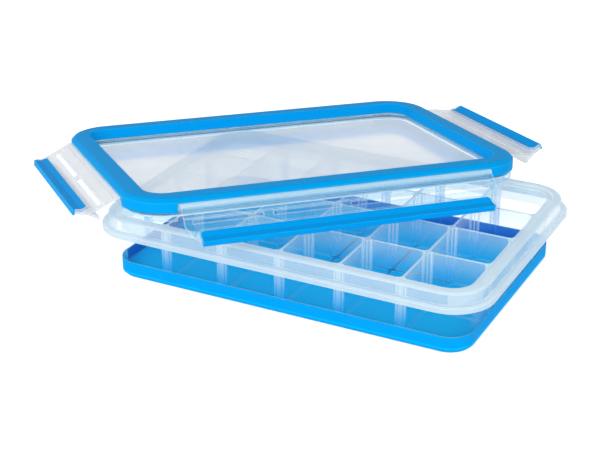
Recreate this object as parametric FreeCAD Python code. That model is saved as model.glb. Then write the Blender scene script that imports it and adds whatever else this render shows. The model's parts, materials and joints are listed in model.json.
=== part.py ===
import FreeCAD, Part
import math
import os

from FreeCAD import Placement, Rotation, Vector

# Ice cube tray with a soft base and a clip lid that lies askew on its rim.
# Millimetres. The origin is on the tray's underside at its centre, X runs along the six cells.

# Tray cells
PITCH = 38.0
CELLS_LONG = 6
CELLS_WIDE = 4
DIVIDER_TOP = 1.2
DIVIDER_FOOT = 1.9
CELL_CORNER = 3.0
TRAY_TOP = 40.0

# Tray outer wall and its rim
WALL_OUT = 0.5
WALL_CORNER = 14.6
WALL_STEP = 0.6
LEDGE = 2.0
BEAD_OUT = 7.4
BEAD_RISE = 1.2
FLANGE_OUT = 11.3
FLANGE_TOP = 34.0
FLANGE_DEPTH = 3.6
BEAD_ROUND = 1.6
FLANGE_EASE = 0.8
RIM_SKIN = 1.3

# Soft base: a push-out floor under all the cells, and the band round the tray's foot
FLOOR = 3.0
BAND_TOP = 10.0
BAND_PROUD = 0.4
BASE_EASE = 1.6

# Lid. Insets are measured inwards from the clips' hinge axes, and levels up from them
HINGE_GAP = 0.8
SKIRT_INSET = 2.1
SKIRT_CORNER = 26.5
PAN_INSET = 12.6
PAN_CORNER = 13.5
LID_SKIN = 1.2
PLATE_DROP = 7.3
CHANNEL_FLOOR = 5.2
STRIP_SKIN = 1.4
STRIP_TAIL = 0.5
FRAME_TOP = 3.9
FRAME_SKIN = 1.5
FRAME_LIP = 1.2
FRAME_FOOT = 2.8
FRAME_PROUD = 0.8
FRAME_SLOPE = 2.6
FRAME_EASE = 0.9
SKIRT_BLUE = 4.6
SKIRT_CLEAR = 9.6
SEAL_WIDE = 6.0
SEAL_DEPTH = 1.2

# Clips: distances out from the hinge axis, along the panel's middle
CLIP_END_LONG = 28.6
CLIP_END_SHORT = 26.6
CLIP_SKIN = 1.1
HINGE_BEAD = 0.9
HINGE_PLAY = 0.2
CLIP_KINK = 13.6
GRIP_FLAT = 8.2
GRIP_LIP = 3.9
GRIP_RISE = 6.0
LIP_RISE = 34.0
TAPER = 6.0
PAD_START = 3.9
PAD_INSET = 7.0
PAD_SKIN = 1.2
PAD_CORNER = 2.5
PAD_FOLD = 1.1
BORDER = 1.2
BORDER_RISE = 0.4
RIB_AT = 8.2
RIB_WIDE = 0.8
RIB_RISE = 0.5
LONG_CLIP_WINDOW_COUNT = 4
SHORT_CLIP_WINDOW_COUNT = 2
WINDOW_AT = 9.6
WINDOW_WIDE = 2.2
WINDOW_END = 5.0
WINDOW_GAP = 6.0
HOOK_ROOT = 7.0
HOOK_TIP = 14.5
HOOK_DEPTH = 6.8
HOOK_SKIN = 1.5
# How far the shapes that only cut or trim run past what they cut
OVERRUN = 9.0

# How the lid lies on the tray, and how far each clip droops from the lid
LID_X = -47.4
LID_Y = 25.6
LID_TURN = 48.6
LID_TIP = -5.6
LID_ROLL = 2.4
REST_GAP = 0.15
LEFT_DROOP = 26.0
RIGHT_DROOP = 5.0
FRONT_DROOP = 49.0
BACK_DROOP = 26.0

half_x = CELLS_LONG * PITCH / 2
half_y = CELLS_WIDE * PITCH / 2
wall_x = half_x + WALL_OUT
wall_y = half_y + WALL_OUT
bead_top = TRAY_TOP + BEAD_RISE
hinge_x = wall_x + FLANGE_OUT + HINGE_GAP
hinge_y = wall_y + FLANGE_OUT + HINGE_GAP
plate_foot = PLATE_DROP + LID_SKIN
bead_middle = (LEDGE + BEAD_OUT) / 2


def rounded_block(half_long, half_wide, radius, low, high):
    """An upright block with rounded corners."""
    box = Part.makeBox(2 * half_long, 2 * half_wide, high - low, Vector(-half_long, -half_wide, low))
    upright = [e for e in box.Edges if abs(e.tangentAt(e.FirstParameter).z) > 0.9]
    return box.makeFillet(radius, upright)


def outline(points):
    """A closed face in the xz plane from (x, z) points."""
    corners = [Vector(x, 0, z) for x, z in points]
    return Part.Face(Part.makePolygon(corners + corners[:1]))


def eased(x, z, size):
    """Points round an outer top corner, in three short flats."""
    turns = [math.radians(30 * k) for k in range(4)]
    return [(x - size + size * math.sin(a), z - size + size * math.cos(a)) for a in turns]


def ring(section, half_long, half_wide, radius):
    """A section, with x measured outwards, carried round a rounded rectangle."""
    pieces = []
    for side in range(4):
        reach, run = (half_long, half_wide) if side % 2 == 0 else (half_wide, half_long)
        face = section.copy()
        face.translate(Vector(reach, -(run - radius), 0))
        straight = face.extrude(Vector(0, 2 * (run - radius), 0))
        end = section.copy()
        end.translate(Vector(reach, run - radius, 0))
        corner = end.revolve(Vector(reach - radius, run - radius, 0), Vector(0, 0, 1), 90)
        for piece in (straight, corner):
            piece.rotate(Vector(0, 0, 0), Vector(0, 0, 1), 90 * side)
            pieces.append(piece)
    return pieces[0].multiFuse(pieces[1:]).removeSplitter()


def pocket(half_low, half_high, low, high, radii):
    """A tapered square pocket; radii belong to its corners, anticlockwise from (+x, +y)."""
    signs = ((1, 1), (-1, 1), (-1, -1), (1, -1))
    solid = Part.makeWedge(-half_low, 0, -half_low, -half_high, -half_high,
                           half_low, high - low, half_low, half_high, half_high)
    solid.rotate(Vector(0, 0, 0), Vector(1, 0, 0), 90)
    solid.translate(Vector(0, 0, low))
    for (a, b), radius in zip(signs, radii):
        def is_corner(edge):
            middle = edge.CenterOfMass
            return low < middle.z < high and a * middle.x > 0.6 * half_low and b * middle.y > 0.6 * half_low
        solid = solid.makeFillet(radius, [e for e in solid.Edges if is_corner(e) and e.Length > (high - low) * 0.9])
    return solid


def cell_half(z):
    """Half the clear width of a cell at height z."""
    rise = (z - FLOOR) / (TRAY_TOP - FLOOR)
    return (PITCH - DIVIDER_FOOT + (DIVIDER_FOOT - DIVIDER_TOP) * rise) / 2


def cell_places():
    """Cell centres, each with the radii of its four corners."""
    inner_corner = WALL_CORNER - WALL_OUT - DIVIDER_TOP / 2
    for i in range(CELLS_LONG):
        for j in range(CELLS_WIDE):
            radii = []
            for a, b in ((1, 1), (-1, 1), (-1, -1), (1, -1)):
                end = i == (CELLS_LONG - 1 if a > 0 else 0) and j == (CELLS_WIDE - 1 if b > 0 else 0)
                radii.append(inner_corner if end else CELL_CORNER)
            centre = Vector((i + 0.5) * PITCH - half_x, (j + 0.5) * PITCH - half_y, 0)
            yield centre, radii


def tray_body():
    """Clear tray: walls, dividers and the stepped rim, moulded as one."""
    upper = rounded_block(wall_x, wall_y, WALL_CORNER, BAND_TOP, TRAY_TOP)
    lower = rounded_block(wall_x - WALL_STEP, wall_y - WALL_STEP, WALL_CORNER - WALL_STEP, FLOOR, BAND_TOP)
    wall_in = -WALL_OUT - CELL_CORNER
    under = TRAY_TOP - RIM_SKIN
    hollow = BEAD_OUT - RIM_SKIN
    flange_foot = FLANGE_TOP - FLANGE_DEPTH
    section = outline([
        (wall_in, TRAY_TOP), (LEDGE, TRAY_TOP), (LEDGE + 0.6, bead_top),
        *eased(BEAD_OUT, bead_top, BEAD_ROUND), (BEAD_OUT, FLANGE_TOP), (FLANGE_OUT - FLANGE_EASE, FLANGE_TOP),
        (FLANGE_OUT, FLANGE_TOP - FLANGE_EASE), (FLANGE_OUT, flange_foot), (FLANGE_OUT - RIM_SKIN, flange_foot),
        (FLANGE_OUT - RIM_SKIN, FLANGE_TOP - RIM_SKIN), (hollow, FLANGE_TOP - RIM_SKIN),
        (hollow, bead_top - RIM_SKIN), (LEDGE + 0.9, bead_top - RIM_SKIN), (LEDGE + 0.4, under),
        (wall_in, under)])
    body = upper.multiFuse([lower, ring(section, wall_x, wall_y, WALL_CORNER)])
    pockets = []
    for centre, radii in cell_places():
        hole = pocket(cell_half(FLOOR), cell_half(bead_top + 1), FLOOR, bead_top + 1, radii)
        hole.translate(centre)
        pockets.append(hole)
    return body.cut(pockets).removeSplitter()


def tray_base():
    """Soft base: the push-out floor, and a band that grips the foot of the tray's wall."""
    block = rounded_block(wall_x + BAND_PROUD, wall_y + BAND_PROUD, WALL_CORNER + BAND_PROUD, 0, BAND_TOP)
    block = block.makeChamfer(BASE_EASE, [e for e in block.Edges if e.BoundBox.ZMax < 0.01])
    core = rounded_block(wall_x - WALL_STEP, wall_y - WALL_STEP, WALL_CORNER - WALL_STEP, FLOOR, BAND_TOP + 1)
    return block.cut(core)


def lid_block(inset, radius, low, high):
    """A block of the lid's outline, drawn in from the hinge axes."""
    return rounded_block(hinge_x - inset, hinge_y - inset, radius, low, high)


def skirt_block(step, low, high):
    """A block inside the lid's outer skirt by a step, with corners that keep its wall even."""
    return lid_block(SKIRT_INSET + step, SKIRT_CORNER - step, low, high)


def pan_block(step, low, high):
    """A block inside the face of the lid's sunk pan by a step."""
    return lid_block(PAN_INSET + step, PAN_CORNER - step, low, high)


def corner_boxes(low, high):
    """Four boxes that hold the lid's corners, past the ends of the clips."""
    boxes = []
    for a in (-1, 1):
        for b in (-1, 1):
            start_x = clip_half("back") + 1
            start_y = clip_half("left") + 1
            corner = Vector(start_x if a > 0 else -hinge_x - 1, start_y if b > 0 else -hinge_y - 1, low)
            boxes.append(Part.makeBox(CLIP_END_LONG, CLIP_END_SHORT, high - low, corner))
    return boxes[0].multiFuse(boxes[1:])


def side_placement(side):
    """Turns a shape drawn for the back side of the lid to the named side."""
    turn = {"back": 0, "left": 90, "front": 180, "right": 270}[side]
    reach = hinge_y if side in ("back", "front") else hinge_x
    place = Placement(Vector(0, 0, 0), Rotation(Vector(0, 0, 1), turn))
    return place.multiply(Placement(Vector(0, reach, 0), Rotation()))


def clip_half(side):
    return hinge_x - CLIP_END_LONG if side in ("back", "front") else hinge_y - CLIP_END_SHORT


def lid_panel():
    """Clear lid: the sunk pan, the channel round it, the hinge strips and the corner skirts."""
    web = FRAME_TOP - FRAME_SKIN
    under = -CHANNEL_FLOOR - LID_SKIN
    foot = STRIP_SKIN / 2
    shell = pan_block(-LID_SKIN, -plate_foot, web).fuse(skirt_block(0, under, foot))
    channel = skirt_block(LID_SKIN, -CHANNEL_FLOOR, web + 1).cut(pan_block(-LID_SKIN, under, web + 2))
    skirt = skirt_block(0, -SKIRT_CLEAR, foot).cut(skirt_block(LID_SKIN, -SKIRT_CLEAR - 1, foot + 1))
    pieces = [skirt.common(corner_boxes(-SKIRT_CLEAR - 1, 1))]
    for side in ("back", "left", "front", "right"):
        half = clip_half(side)
        tail = SKIRT_INSET + LID_SKIN / 2
        strip = Part.makeBox(2 * half, tail - STRIP_TAIL, STRIP_SKIN, Vector(-half, -tail, -foot))
        groove = Part.makeCylinder(HINGE_BEAD + HINGE_PLAY, 2 * half + 2, Vector(-half - 1, 0, 0), Vector(1, 0, 0))
        strip = strip.cut(groove)
        strip.Placement = side_placement(side)
        pieces.append(strip)
    return shell.cut([channel, pan_block(0, -PLATE_DROP, web + 1)]).multiFuse(pieces).removeSplitter()


def lid_frame():
    """Blue frame: caps the lid's channel, laps the pan's wall and runs down over the four corners."""
    foot = STRIP_SKIN / 2
    web = FRAME_TOP - FRAME_SKIN
    cap = skirt_block(-FRAME_PROUD, foot, FRAME_TOP)
    cap = cap.makeChamfer(FRAME_SLOPE, [e for e in cap.Edges if e.BoundBox.ZMin > FRAME_TOP - 0.01])
    cap = cap.makeChamfer(FRAME_EASE, [e for e in cap.Edges if e.BoundBox.ZMin > FRAME_TOP - 0.01])
    lap = pan_block(0, -FRAME_FOOT, FRAME_TOP)
    hollow = skirt_block(LID_SKIN, foot - 1, web).cut(pan_block(0, foot - 2, web + 1))
    corners = skirt_block(-FRAME_PROUD, -SKIRT_BLUE, foot).cut(skirt_block(0, -SKIRT_BLUE - 1, foot + 1))
    corners = corners.common(corner_boxes(-SKIRT_BLUE - 1, foot + 1))
    shape = cap.cut(hollow).multiFuse([lap, corners])
    return shape.cut(pan_block(FRAME_LIP, -FRAME_FOOT - 1, FRAME_TOP + 1)).removeSplitter()


def lid_seal():
    """Soft seal under the lid's channel, over the bead of the tray's rim when the lid is shut."""
    top = -CHANNEL_FLOOR - LID_SKIN
    reach = bead_middle + SEAL_WIDE / 2
    outer = rounded_block(wall_x + reach, wall_y + reach, WALL_CORNER + reach, top - SEAL_DEPTH, top)
    reach = bead_middle - SEAL_WIDE / 2
    inner = rounded_block(wall_x + reach, wall_y + reach, WALL_CORNER + reach, top - SEAL_DEPTH - 1, top + 1)
    return outer.cut(inner)


def clip_line():
    """The middle of a clip's section, as points (out, up): hinge, kink, bend and free edge."""
    flat = math.radians(GRIP_RISE)
    lip = math.radians(LIP_RISE)
    kink = (CLIP_KINK, 0)
    bend = (kink[0] + GRIP_FLAT * math.cos(flat), GRIP_FLAT * math.sin(flat))
    free = (bend[0] + GRIP_LIP * math.cos(lip), bend[1] + GRIP_LIP * math.sin(lip))
    return [(0, 0), kink, bend, free]


def moved(line, by):
    """A bent line moved sideways, with mitred corners."""
    slopes = [math.atan2(b[1] - a[1], b[0] - a[0]) for a, b in zip(line, line[1:])]
    points = []
    for k, (out, up) in enumerate(line):
        before = slopes[max(k - 1, 0)]
        after = slopes[min(k, len(slopes) - 1)]
        middle = (before + after) / 2
        size = by / math.cos((after - before) / 2)
        points.append((out - size * math.sin(middle), up + size * math.cos(middle)))
    return points


def sheet(line, low, high, length):
    """A bent sheet between two offsets of a line, carried along the hinge's direction."""
    corners = moved(line, high) + moved(line, low)[::-1]
    return outline(corners).extrude(Vector(0, length, 0))


def plan(inset, start, half, radius):
    """An upright prism over the pad's outline, open past the clip's free edge."""
    reach = GRIP_FLAT + GRIP_LIP
    block = rounded_block(reach, half - inset, radius, -OVERRUN, OVERRUN)
    block.translate(Vector(CLIP_KINK + start + reach, half, 0))
    return block


def windows_along(side):
    """The windows' starts and their length, along a clip of the named side."""
    count = LONG_CLIP_WINDOW_COUNT if side in ("back", "front") else SHORT_CLIP_WINDOW_COUNT
    length = (2 * clip_half(side) - 2 * WINDOW_END - (count - 1) * WINDOW_GAP) / count
    return [WINDOW_END + k * (length + WINDOW_GAP) for k in range(count)], length


def clip(side):
    """Clear clip, drawn level: rolled hinge edge, panel with windows, hooks, and the grip's border."""
    half = clip_half(side)
    skin = CLIP_SKIN / 2
    line = clip_line()
    panel = sheet(line, -skin, skin, 2 * half)
    bead = Part.makeCylinder(HINGE_BEAD, 2 * half, Vector(0, 0, 0), Vector(0, 1, 0))
    rib = Part.makeBox(RIB_WIDE, 2 * half, RIB_RISE + skin, Vector(RIB_AT, 0, 0))
    border = sheet(line[1:], 0, skin + PAD_SKIN + BORDER_RISE, 2 * half)
    border = border.common(plan(PAD_INSET - BORDER, PAD_START - BORDER, half, PAD_CORNER + BORDER))
    border = border.cut(plan(PAD_INSET, PAD_START, half, PAD_CORNER))
    rise = math.tan(math.radians(GRIP_RISE))
    root = (CLIP_KINK + HOOK_ROOT, HOOK_ROOT * rise)
    hooks = []
    windows = []
    starts, length = windows_along(side)
    for start in starts:
        hook = sheet([(HOOK_TIP, -HOOK_DEPTH), root], -HOOK_SKIN / 2, HOOK_SKIN / 2, length)
        hook.translate(Vector(0, start, 0))
        hooks.append(hook)
        windows.append(Part.makeBox(WINDOW_WIDE, length, 2 * OVERRUN, Vector(WINDOW_AT, start, -OVERRUN)))
    past = line[-1][0] + 3
    slope = TAPER / (line[-1][0] - CLIP_KINK)
    ends = []
    for end, inward in ((0, 1), (2 * half, -1)):
        trim = [Vector(CLIP_KINK, end, -OVERRUN), Vector(past, end + inward * slope * (past - CLIP_KINK), -OVERRUN),
                Vector(past, end - inward, -OVERRUN), Vector(CLIP_KINK, end - inward, -OVERRUN)]
        ends.append(Part.Face(Part.makePolygon(trim + trim[:1])).extrude(Vector(0, 0, 2 * OVERRUN)))
    hooks = hooks[0].multiFuse(hooks[1:]).cut(sheet(line[1:], skin - 0.1, OVERRUN, 2 * half))
    shape = panel.multiFuse([bead, rib]).cut(windows).multiFuse([border, hooks])
    return shape.cut(ends).removeSplitter()


def clip_grip(side):
    """Blue soft pad in the border of a clip's grip, folded down over the free edge."""
    half = clip_half(side)
    skin = CLIP_SKIN / 2
    line = clip_line()
    lip = math.radians(LIP_RISE)
    past = (line[-1][0] + PAD_SKIN * math.cos(lip), line[-1][1] + PAD_SKIN * math.sin(lip))
    pad = sheet(line[1:-1] + [past], skin, skin + PAD_SKIN, 2 * half)
    fold = sheet([line[-1], past], -skin - PAD_FOLD, skin + PAD_SKIN, 2 * half)
    return pad.fuse(fold).common(plan(PAD_INSET, PAD_START, half, PAD_CORNER)).removeSplitter()


def lid_rotation():
    turn = Rotation(Vector(0, 0, 1), LID_TURN)
    tip = Rotation(Vector(1, 0, 0), LID_TIP)
    roll = Rotation(Vector(0, 1, 0), LID_ROLL)
    return turn.multiply(tip).multiply(roll)


def lid_height():
    """Level of the hinges at the lid's centre, with the plate on the bead at the tray's back left corner."""
    turn = lid_rotation()
    normal = turn.multVec(Vector(0, 0, 1))
    back = turn.multVec(Vector(0, 1, 0))
    flat = Vector(back.x, back.y, 0)
    flat.normalize()
    crown = flat * (WALL_CORNER + BEAD_OUT - 1.0)
    touch = Vector(-(wall_x - WALL_CORNER), wall_y - WALL_CORNER, 0) + crown
    slope = (normal.x * (touch.x - LID_X) + normal.y * (touch.y - LID_Y)) / normal.z
    return bead_top + REST_GAP + plate_foot / normal.z + slope


def lid_place():
    return Placement(Vector(LID_X, LID_Y, lid_height()), lid_rotation())


def droop(side):
    return {"left": LEFT_DROOP, "right": RIGHT_DROOP, "back": BACK_DROOP, "front": FRONT_DROOP}[side]


def clip_place(side):
    """Where a clip drawn level, with x out from its hinge, goes on the lid."""
    half = clip_half(side)
    level = Placement(Vector(half, 0, 0), Rotation(Vector(0, 0, 1), 90))
    drooped = Placement(Vector(0, 0, 0), Rotation(Vector(1, 0, 0), -droop(side)))
    return lid_place().multiply(side_placement(side)).multiply(drooped).multiply(level)


def main():
    os.makedirs("parts", exist_ok=True)
    nodes = {"tray_body": tray_body(), "tray_base": tray_base()}
    for name, shape in (("lid_panel", lid_panel()), ("lid_frame", lid_frame()), ("lid_seal", lid_seal())):
        shape.Placement = lid_place().multiply(shape.Placement)
        nodes[name] = shape
    for side in ("left", "right", "front", "back"):
        for name, shape in ((side + "_clip", clip(side)), (side + "_grip", clip_grip(side))):
            shape.Placement = clip_place(side).multiply(shape.Placement)
            nodes[name] = shape
    for name, shape in nodes.items():
        shape.exportStep("parts/" + name + ".step")
        print(name, len(shape.Solids), round(shape.Volume), shape.isValid())
    print("lid height", round(lid_height(), 2))


main()
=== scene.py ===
import bpy
import json
from math import cos, radians, sin
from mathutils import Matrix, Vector

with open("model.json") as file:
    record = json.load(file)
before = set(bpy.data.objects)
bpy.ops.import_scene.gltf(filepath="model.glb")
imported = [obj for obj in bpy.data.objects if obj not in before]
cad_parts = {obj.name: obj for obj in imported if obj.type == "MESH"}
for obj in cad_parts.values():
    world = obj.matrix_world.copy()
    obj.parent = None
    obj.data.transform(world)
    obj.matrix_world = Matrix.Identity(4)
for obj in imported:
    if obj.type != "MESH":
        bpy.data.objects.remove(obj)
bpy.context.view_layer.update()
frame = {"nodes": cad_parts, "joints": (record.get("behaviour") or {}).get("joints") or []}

# Camera, as the photograph was taken: turned right of the tray's front and raised
CAMERA_TURN = radians(27.11)
CAMERA_RISE = radians(24.68)
CAMERA_AWAY = 0.9407
CAMERA_AIM = Vector((-0.04515, 0.03851, 0))
CAMERA_LENS = 85.457
CAMERA_FILM = 36

# Blue plastics: the tray's base, its thin cell floors (painted lighter than the base as painted
# light), the lid's frame and the clips' pads
BASE_BLUE = (0.0, 0.37, 0.90, 1)
FLOOR_BLUE_PAINTED_LIGHTER = (0.0, 0.50, 1.0, 1)
FRAME_BLUE = (0.0, 0.35, 0.84, 1)
PAD_BLUE = (0.0, 0.34, 0.86, 1)
# Painted highlight: a paler blue on the blue plastics' rounded edges
EDGE_HIGHLIGHT_BLUE = (0.02, 0.60, 0.95, 1)
EDGE_HIGHLIGHT_SHARE = 0.9
BLUE_HIGHLIGHT_TURN = (0.86, 0.995)
BLUE_SPECULAR = 0.03
BASE_SATIN = 0.55
FRAME_SATIN = 0.50
PAD_SATIN = 0.50
BASE_ROUND = 0.0010
FRAME_ROUND = 0.0010
PAD_ROUND = 0.0009
GRAIN_SCALE = 1600.0
GRAIN_DETAIL = 2.0
GRAIN_STRENGTH = 0.06
GRAIN_DEPTH = 0.00004

# Clear plastics: their haze's colours
DIVIDER_MILK = (0.80, 0.93, 0.98, 1)
# Painted light: blue light bounced from the cell floors, painted into the walls' haze low down
FLOOR_BOUNCE_PAINT_BLUE = (0.01, 0.46, 0.96, 1)
# The base's blue seen through the wall's foot, painted lighter than the base itself as painted light
SEATED_BLUE_PAINTED_LIGHTER = (0.10, 0.92, 1.0, 1)
# Painted light: blue light from the tray, painted into the haze of the lid's walls and the front clip
TRAY_LIGHT_PAINT_BLUE = (0.24, 0.70, 0.96, 1)
PLATE_WHITE = (0.95, 0.96, 0.97, 1)
CLIP_MILK = (0.80, 0.80, 0.82, 1)
CLEAR_TINT = (0.98, 0.995, 1.0, 1)
# Painted highlight colour, on the clear plastics' edges and along the clips' hinge webs
HIGHLIGHT_WHITE = (0.92, 1.0, 1.0, 1)
PURE_WHITE = (1, 1, 1, 1)

# Clear plastics: how much light their haze and skin take
SLANT_HAZE = 0.10
SLANT_POWER = 3.0
# Painted highlight: extra white haze on every rounded edge
EDGE_HIGHLIGHT_HAZE = 0.85
EDGE_HIGHLIGHT_TURN = (0.84, 0.99)
MOST_HAZE = 0.97
SCATTERED_PASS = 0.85
HAZE_BEHIND = 0.35
SKIN_SHEEN = 0.004
GRAZING_SHEEN = 0.4
GRAZING_POWER = 8.0
TRAY_GLOSS = 0.12
LID_GLOSS = 0.13
TRAY_ROUND = 0.0006
LID_ROUND = 0.0005

# Clear lid: its level plate is frosted, and the haze drifts a little
LID_HAZE = 0.20
PLATE_HAZE = 0.20
PLATE_SHEEN = 0.19
PLATE_LEVEL = (0.80, 0.95)
CLOUD_SCALE = 60.0
CLOUD_SPAN = (0.3, 0.7)
CLOUD_DRIFT = 0.015

# Clips: the front one lies before the tray and looks clearer than the others, and its haze is painted
# blue as painted light from the tray
FRONT_CLIP_HAZE = 0.12
CLIP_HAZE = 0.46
# Painted highlight: white haze along each clip's hinge web
WEB_HIGHLIGHT_HAZE = 0.55
HINGE_ROLL = 0.0018
WEB_FADE = 0.0006

# White seal
SEAL_WHITE = (0.80, 0.86, 0.90, 1)
SEAL_CLOUD = (0.78, 0.90, 0.96, 1)
SEAL_CLOUD_SHARE = 0.15
SEAL_CLOUD_SCALE = 90.0
SEAL_CLOUD_DETAIL = 3.0
SEAL_MATT = 0.5
SEAL_ROUND = 0.0003

# The tray's cells and walls, in metres
PITCH = 0.038
HALF_LONG = 0.114
HALF_WIDE = 0.076
FLOOR_TOP = 0.003
FLOOR_BAND = 0.0005
BAND_TOP = 0.010
FLANGE_FOOT = 0.0304
DIVIDER_TOP = 0.040
RIM_LINE = 0.0395
WALL_CORNER = 0.0146

# Lines set out from the edge of the block of cells, outwards, in metres
OUTER_WALL = -0.0008
SEATED_WALL = -0.0003
RIM_START = 0.0006
FLANGE_START = 0.0080

# Milky parts of the tray: heights in metres, then shares of haze
# Columns where dividers meet: haze for the thicker plastic, and painted highlight from its fillets
COLUMN_HEIGHTS = (0.006, 0.020)
COLUMN_HAZE_AND_HIGHLIGHT = (0.20, 0.42)
COLUMN_SIDE = (0.0026, 0.0036)
COLUMN_OUTER_GAIN = 0.5
CLEARER_LINE_INSIDE = (0.0012, 0.0017)
CLEARER_LINE_OUTSIDE = (0.0019, 0.0024)
CLEARER_LINE_DEPTH = 0.6
DIVIDER_HEIGHTS = (0.006, 0.046)
DIVIDER_HAZE = 0.24
DIVIDER_POWER = 3.0
WALL_HAZE = 0.24
WALL_FADE = 0.001
LEDGE_HAZE = 0.40
CREST_HAZE = 0.5
CREST_DROP = 0.0003
# Heights where the painted blue floor bounce fades into the white haze
FLOOR_BOUNCE_PAINT_RISE = 0.004
FLOOR_BOUNCE_PAINT_DROP = 0.006

# Studio: a bright room that darkens towards its ceiling, a pale floor and three lamps
FLOOR_SIZE = 12
FLOOR_DROP = -0.0002
FLOOR_GLOW = 0.66
FLOOR_PAINT = (0.8, 0.8, 0.8, 1)
HORIZON_LIGHT = 0.82
CEILING_LIGHT = 0.22
CLEAR_LAYERS = 32
LAMP_SIZE = 0.8
LAMPS = {
    "key": ((0.0, -1.5, 0.7), 13),
    "right": ((1.4, -0.1, 0.5), 6),
    "left": ((-1.3, -0.5, 0.9), 4),
}


class Finish:
    """One plastic's material, with shorthand for its nodes."""

    def __init__(self, name):
        self.material = bpy.data.materials.new(name)
        self.material.use_nodes = True
        self.tree = self.material.node_tree
        self.skin = self.tree.nodes["Principled BSDF"]
        self.surface = self.tree.nodes["Material Output"].inputs["Surface"]

    def put(self, socket, source):
        if hasattr(source, "is_linked"):
            self.tree.links.new(source, socket)
        else:
            socket.default_value = source

    def add(self, kind, links=(), **values):
        node = self.tree.nodes.new(kind)
        for key, value in values.items():
            setattr(node, key, value)
        for socket, source in dict(links).items():
            self.put(node.inputs[socket], source)
        return node

    def math(self, operation, a, b=0.0):
        return self.add("ShaderNodeMath", {0: a, 1: b}, operation=operation).outputs[0]

    def plus(self, a, b):
        return self.math("ADD", a, b)

    def minus(self, a, b):
        return self.math("SUBTRACT", a, b)

    def times(self, a, b):
        return self.math("MULTIPLY", a, b)

    def more(self, a, b):
        return self.math("GREATER_THAN", a, b)

    def vector(self, operation, a, b, result="Vector"):
        return self.add("ShaderNodeVectorMath", {0: a, 1: b}, operation=operation).outputs[result]

    def ramp(self, value, span, start, end):
        """Runs smoothly from start to end while the value crosses the span."""
        low, high = span
        links = {"Value": value, "From Min": low, "From Max": high, "To Min": start, "To Max": end}
        return self.add("ShaderNodeMapRange", links, interpolation_type="SMOOTHSTEP").outputs["Result"]

    def tint(self, share, a, b):
        """Colour a, with this share of colour b."""
        return self.add("ShaderNodeMix", {"Factor": share, 6: a, 7: b}, data_type="RGBA").outputs[2]

    def blend(self, share, a, b):
        return self.add("ShaderNodeMixShader", {0: share, 1: a, 2: b}).outputs[0]

    def spot(self):
        return self.add("ShaderNodeTexCoord").outputs["Object"]

    def split(self, vector):
        return self.add("ShaderNodeSeparateXYZ", {0: vector}).outputs

    def cloud(self, scale, **values):
        links = {"Vector": self.spot(), "Scale": scale, **values}
        return self.add("ShaderNodeTexNoise", links).outputs["Fac"]

    def soft_edges(self, radius):
        return self.add("ShaderNodeBevel", {"Radius": radius}, samples=4).outputs[0]

    def edge_share(self, soft, turn, most):
        """How much of a point lies on a rounded edge, where the soft normal leaves the flat one."""
        flat = self.add("ShaderNodeNewGeometry").outputs["Normal"]
        return self.ramp(self.vector("DOT_PRODUCT", soft, flat, "Value"), turn, most, 0.0)

    def wear(self, node):
        """Puts the finish on one piece of the part."""
        mesh = frame["nodes"][node].data
        mesh.materials.clear()
        mesh.materials.append(self.material)


def clear_plastic(finish, haze, colour, edge, gloss, sheen=SKIN_SHEEN):
    """Light passes straight through, dulled by a haze, under a glossy skin."""
    soft = finish.soft_edges(edge)
    facing = finish.add("ShaderNodeLayerWeight", {"Blend": 0.5}).outputs["Facing"]
    slant = finish.times(finish.math("POWER", facing, SLANT_POWER), SLANT_HAZE)
    # Every moulded edge shows as a fine pale line: a painted highlight of white haze
    rounded = finish.edge_share(soft, EDGE_HIGHLIGHT_TURN, 1.0)
    dulled = finish.plus(slant, finish.times(rounded, EDGE_HIGHLIGHT_HAZE))
    thick = finish.math("MINIMUM", finish.plus(haze, dulled), MOST_HAZE)
    # Light that has scattered in the plastic still gets through it
    path = finish.add("ShaderNodeLightPath").outputs
    unseen = finish.math("MAXIMUM", path["Is Shadow Ray"], path["Is Diffuse Ray"])
    thick = finish.times(thick, finish.minus(1.0, finish.times(unseen, SCATTERED_PASS)))
    paint = finish.tint(rounded, colour, HIGHLIGHT_WHITE)
    through = finish.add("ShaderNodeBsdfTransparent", {"Color": CLEAR_TINT}).outputs[0]
    front = finish.add("ShaderNodeBsdfDiffuse", {"Color": paint}).outputs[0]
    behind = finish.add("ShaderNodeBsdfTranslucent", {"Color": paint}).outputs[0]
    body = finish.blend(thick, through, finish.blend(HAZE_BEHIND, front, behind))
    links = {"Color": PURE_WHITE, "Roughness": gloss, "Normal": soft}
    shine = finish.add("ShaderNodeBsdfGlossy", links).outputs[0]
    grazing = finish.times(finish.math("POWER", facing, GRAZING_POWER), GRAZING_SHEEN)
    mirror = finish.times(finish.plus(sheen, grazing), finish.minus(1.0, unseen))
    finish.put(finish.surface, finish.blend(mirror, body, shine))
    finish.tree.nodes.remove(finish.skin)
    return finish


def beyond_cells(finish, x, y):
    """How far a point lies outside the block of cells, whose corners are round."""
    over_x = finish.minus(finish.math("ABSOLUTE", x), HALF_LONG - WALL_CORNER)
    over_y = finish.minus(finish.math("ABSOLUTE", y), HALF_WIDE - WALL_CORNER)
    sides = {0: finish.math("MAXIMUM", over_x, 0.0), 1: finish.math("MAXIMUM", over_y, 0.0)}
    over = finish.add("ShaderNodeCombineXYZ", sides).outputs[0]
    reach = finish.add("ShaderNodeVectorMath", {0: over}, operation="LENGTH").outputs["Value"]
    return finish.minus(reach, WALL_CORNER)


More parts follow.
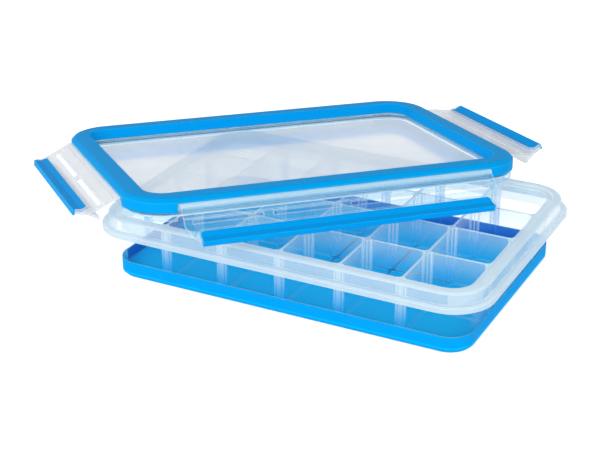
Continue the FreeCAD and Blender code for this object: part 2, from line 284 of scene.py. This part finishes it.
def column_haze_and_highlight(finish, x, y, z, outer, rim):
    """Pale columns where the dividers meet, partly haze for the thicker plastic there and partly
    painted highlight from its fillets, with a clearer line down either side.
    """
    across = finish.math("PINGPONG", finish.plus(x, HALF_LONG), PITCH / 2)
    along = finish.math("PINGPONG", finish.plus(y, HALF_WIDE), PITCH / 2)
    near = finish.math("MAXIMUM", across, along)
    column = finish.ramp(z, COLUMN_HEIGHTS, *COLUMN_HAZE_AND_HIGHLIGHT)
    column = finish.times(column, finish.ramp(near, COLUMN_SIDE, 1.0, 0.0))
    clearer_line = finish.ramp(near, CLEARER_LINE_INSIDE, 0.0, 1.0)
    clearer_line = finish.times(clearer_line, finish.ramp(near, CLEARER_LINE_OUTSIDE, 1.0, 0.0))
    column = finish.times(column, finish.minus(1.0, finish.times(clearer_line, CLEARER_LINE_DEPTH)))
    column = finish.times(column, finish.minus(1.0, rim))
    return finish.times(column, finish.plus(1.0, finish.times(outer, COLUMN_OUTER_GAIN)))


def tray_plastic():
    """The tray: clear outer wall, dividers that turn milky towards their tops, and a milky rim; low
    down the haze is painted blue, as painted light bounced from the floors.
    """
    finish = Finish("tray_clear")
    x, y, z = finish.split(finish.spot())
    past = beyond_cells(finish, x, y)
    outer = finish.more(past, OUTER_WALL)
    rim = finish.more(finish.math("MAXIMUM", past, finish.minus(z, RIM_LINE)), RIM_START)
    rise = finish.math("POWER", finish.ramp(z, DIVIDER_HEIGHTS, 0.0, 1.0), DIVIDER_POWER)
    inner_haze = finish.times(rise, DIVIDER_HAZE)
    wall_haze = finish.ramp(z, (FLANGE_FOOT - WALL_FADE, FLANGE_FOOT), 0.0, WALL_HAZE)
    ledge = finish.times(finish.more(past, FLANGE_START), LEDGE_HAZE)
    wall_haze = finish.plus(wall_haze, ledge)
    crest = finish.times(finish.more(z, DIVIDER_TOP - CREST_DROP), CREST_HAZE)
    sides = {"Factor": outer, "A": inner_haze, "B": wall_haze}
    side = finish.add("ShaderNodeMix", sides).outputs[0]
    haze = finish.plus(side, column_haze_and_highlight(finish, x, y, z, outer, rim))
    haze = finish.plus(haze, crest)
    # The soft base clings to the foot of the outer wall and shows through it
    seated = finish.math("LESS_THAN", z, BAND_TOP)
    seated = finish.times(finish.more(past, SEATED_WALL), seated)
    haze = finish.math("MAXIMUM", haze, seated)
    # Painted light: the haze is blue near the floors, for the light they bounce onto the walls, and
    # turns white higher up
    span = (FLOOR_TOP + FLOOR_BOUNCE_PAINT_RISE, DIVIDER_TOP - FLOOR_BOUNCE_PAINT_DROP)
    colour = finish.tint(finish.ramp(z, span, 0.0, 1.0), FLOOR_BOUNCE_PAINT_BLUE, DIVIDER_MILK)
    # The base shows through the foot in a blue painted lighter than its own, as painted light on a
    # foot that renders dark
    colour = finish.tint(seated, colour, SEATED_BLUE_PAINTED_LIGHTER)
    return clear_plastic(finish, haze, colour, TRAY_ROUND, TRAY_GLOSS)


def drifting(finish, haze):
    """A haze that is a little uneven over the surface."""
    drift = finish.ramp(finish.cloud(CLOUD_SCALE), CLOUD_SPAN, -CLOUD_DRIFT, CLOUD_DRIFT)
    return finish.plus(haze, drift)


def lid_plastic():
    """The lid: a frosted plate between clearer walls, whose haze is painted blue as painted light from
    the tray.
    """
    finish = Finish("lid_clear")
    upward = finish.split(finish.add("ShaderNodeTexCoord").outputs["Normal"])[2]
    level = finish.ramp(finish.math("ABSOLUTE", upward), PLATE_LEVEL, 0.0, 1.0)
    sheen = finish.plus(finish.times(level, PLATE_SHEEN), SKIN_SHEEN)
    haze = drifting(finish, finish.plus(finish.times(level, PLATE_HAZE), LID_HAZE))
    colour = finish.tint(level, TRAY_LIGHT_PAINT_BLUE, PLATE_WHITE)
    return clear_plastic(finish, haze, colour, LID_ROUND, LID_GLOSS, sheen)


def clip_plastic(joint, haze, milk):
    """A clip: evenly hazy, with a painted highlight along the web of plastic that it folds on."""
    finish = Finish(joint["child"] + "_clear")
    away = finish.vector("SUBTRACT", finish.spot(), joint["pos_m"])
    across = finish.vector("CROSS_PRODUCT", away, joint["axis"])
    apart = finish.add("ShaderNodeVectorMath", {0: across}, operation="LENGTH").outputs["Value"]
    # Painted highlight along the hinge web
    web = finish.ramp(apart, (HINGE_ROLL, HINGE_ROLL + WEB_FADE), WEB_HIGHLIGHT_HAZE, 0.0)
    haze = finish.plus(drifting(finish, haze), web)
    return clear_plastic(finish, haze, finish.tint(web, milk, HIGHLIGHT_WHITE), LID_ROUND, LID_GLOSS)


def blue_plastic(name, colour, satin, edge, painted_floor_light=None):
    """Coloured moulded plastic with a fine satin grain, soft edges and a painted highlight along its
    rounded edges.
    """
    finish = Finish(name)
    soft = finish.soft_edges(edge)
    noise = finish.cloud(GRAIN_SCALE, Detail=GRAIN_DETAIL)
    bumps = {"Strength": GRAIN_STRENGTH, "Distance": GRAIN_DEPTH, "Height": noise, "Normal": soft}
    grain = finish.add("ShaderNodeBump", bumps).outputs[0]
    # Painted highlight: the rounded edges are tinted a paler blue
    rounded = finish.edge_share(soft, BLUE_HIGHLIGHT_TURN, EDGE_HIGHLIGHT_SHARE)
    paint = finish.tint(rounded, colour, EDGE_HIGHLIGHT_BLUE)
    # Painted light: the cell floors are painted a lighter blue than the base, to make up for the shade
    # in the cells
    if painted_floor_light:
        z = finish.split(finish.spot())[2]
        height = finish.math("ABSOLUTE", finish.minus(z, FLOOR_TOP))
        paint = finish.tint(finish.math("LESS_THAN", height, FLOOR_BAND), paint, painted_floor_light)
    finish.put(finish.skin.inputs["Base Color"], paint)
    finish.put(finish.skin.inputs["Roughness"], satin)
    finish.put(finish.skin.inputs["Specular IOR Level"], BLUE_SPECULAR)
    finish.put(finish.skin.inputs["Normal"], grain)
    return finish


def seal_rubber():
    """Soft white seal with a faint cloudiness."""
    finish = Finish("seal_white")
    cloud = finish.cloud(SEAL_CLOUD_SCALE, Detail=SEAL_CLOUD_DETAIL)
    share = finish.ramp(cloud, CLOUD_SPAN, 0.0, SEAL_CLOUD_SHARE)
    finish.put(finish.skin.inputs["Base Color"], finish.tint(share, SEAL_WHITE, SEAL_CLOUD))
    finish.put(finish.skin.inputs["Roughness"], SEAL_MATT)
    finish.put(finish.skin.inputs["Normal"], finish.soft_edges(SEAL_ROUND))
    return finish


def floor():
    """White floor that keeps the object's shadow."""
    bpy.ops.mesh.primitive_plane_add(size=FLOOR_SIZE, location=(0, 0, FLOOR_DROP))
    ground = bpy.context.object
    ground.name = "floor"
    finish = Finish("floor_white")
    path = finish.add("ShaderNodeLightPath").outputs
    seen = finish.math("MAXIMUM", path["Is Camera Ray"], path["Is Glossy Ray"])
    seen = finish.math("MAXIMUM", seen, path["Is Transmission Ray"])
    glow = finish.add("ShaderNodeEmission", {"Strength": finish.times(seen, FLOOR_GLOW)}).outputs[0]
    matte = finish.add("ShaderNodeBsdfDiffuse", {"Color": FLOOR_PAINT}).outputs[0]
    both = finish.add("ShaderNodeAddShader", {0: matte, 1: glow}).outputs[0]
    finish.put(finish.surface, both)
    finish.tree.nodes.remove(finish.skin)
    ground.data.materials.append(finish.material)


def lamp(name, place, power):
    """A round lamp that faces the object."""
    data = bpy.data.lights.new(name, "AREA")
    data.shape = "DISK"
    data.size = LAMP_SIZE
    data.energy = power
    light = bpy.data.objects.new(name, data)
    light.location = place
    light.rotation_euler = (CAMERA_AIM - Vector(place)).to_track_quat("-Z", "Y").to_euler()
    bpy.context.scene.collection.objects.link(light)


def room():
    """The world: white to the camera and in reflections, and darker towards the ceiling as a light."""
    world = bpy.data.worlds.new("studio")
    world.use_nodes = True
    nodes = world.node_tree.nodes
    link = world.node_tree.links.new
    ground = nodes["Background"]
    ground.inputs["Color"].default_value = PURE_WHITE
    direction = nodes.new("ShaderNodeTexCoord")
    parts = nodes.new("ShaderNodeSeparateXYZ")
    height = nodes.new("ShaderNodeMapRange")
    height.inputs["To Min"].default_value = HORIZON_LIGHT
    height.inputs["To Max"].default_value = CEILING_LIGHT
    path = nodes.new("ShaderNodeLightPath")
    white = nodes.new("ShaderNodeMath")
    white.operation = "MAXIMUM"
    strength = nodes.new("ShaderNodeMath")
    strength.operation = "MAXIMUM"
    link(direction.outputs["Generated"], parts.inputs[0])
    link(parts.outputs[2], height.inputs["Value"])
    link(path.outputs["Is Camera Ray"], white.inputs[0])
    link(path.outputs["Is Glossy Ray"], white.inputs[1])
    link(height.outputs["Result"], strength.inputs[0])
    link(white.outputs[0], strength.inputs[1])
    link(strength.outputs[0], ground.inputs["Strength"])
    bpy.context.scene.world = world


def studio():
    """A bright room with three low lamps."""
    scene = bpy.context.scene
    scene.view_settings.view_transform = "Standard"
    scene.cycles.transparent_max_bounces = CLEAR_LAYERS
    room()
    for name, (place, power) in LAMPS.items():
        lamp(name, place, power)


def camera():
    """The camera, at the photograph's angle."""
    data = bpy.data.cameras.new("camera")
    data.sensor_width = CAMERA_FILM
    data.lens = CAMERA_LENS
    view = bpy.data.objects.new("camera", data)
    level = cos(CAMERA_RISE)
    back = Vector((sin(CAMERA_TURN) * level, -cos(CAMERA_TURN) * level, sin(CAMERA_RISE)))
    view.location = CAMERA_AIM + back * CAMERA_AWAY
    view.rotation_euler = (-back).to_track_quat("-Z", "Y").to_euler()
    bpy.context.scene.collection.objects.link(view)
    bpy.context.scene.camera = view


tray_plastic().wear("tray_body")
lid_plastic().wear("lid_panel")
hinges = {joint["child"]: joint for joint in frame["joints"]}
pad_blue = blue_plastic("pad_blue", PAD_BLUE, PAD_SATIN, PAD_ROUND)
clip_plastic(hinges["left_clip"], CLIP_HAZE, CLIP_MILK).wear("left_clip")
clip_plastic(hinges["right_clip"], CLIP_HAZE, CLIP_MILK).wear("right_clip")
# The front clip's haze is painted blue, as painted light from the tray behind it
clip_plastic(hinges["front_clip"], FRONT_CLIP_HAZE, TRAY_LIGHT_PAINT_BLUE).wear("front_clip")
clip_plastic(hinges["back_clip"], CLIP_HAZE, CLIP_MILK).wear("back_clip")
for side in ("left", "right", "front", "back"):
    pad_blue.wear(side + "_grip")
blue_plastic("base_blue", BASE_BLUE, BASE_SATIN, BASE_ROUND, FLOOR_BLUE_PAINTED_LIGHTER).wear("tray_base")
blue_plastic("frame_blue", FRAME_BLUE, FRAME_SATIN, FRAME_ROUND).wear("lid_frame")
seal_rubber().wear("lid_seal")

floor()
studio()
camera()
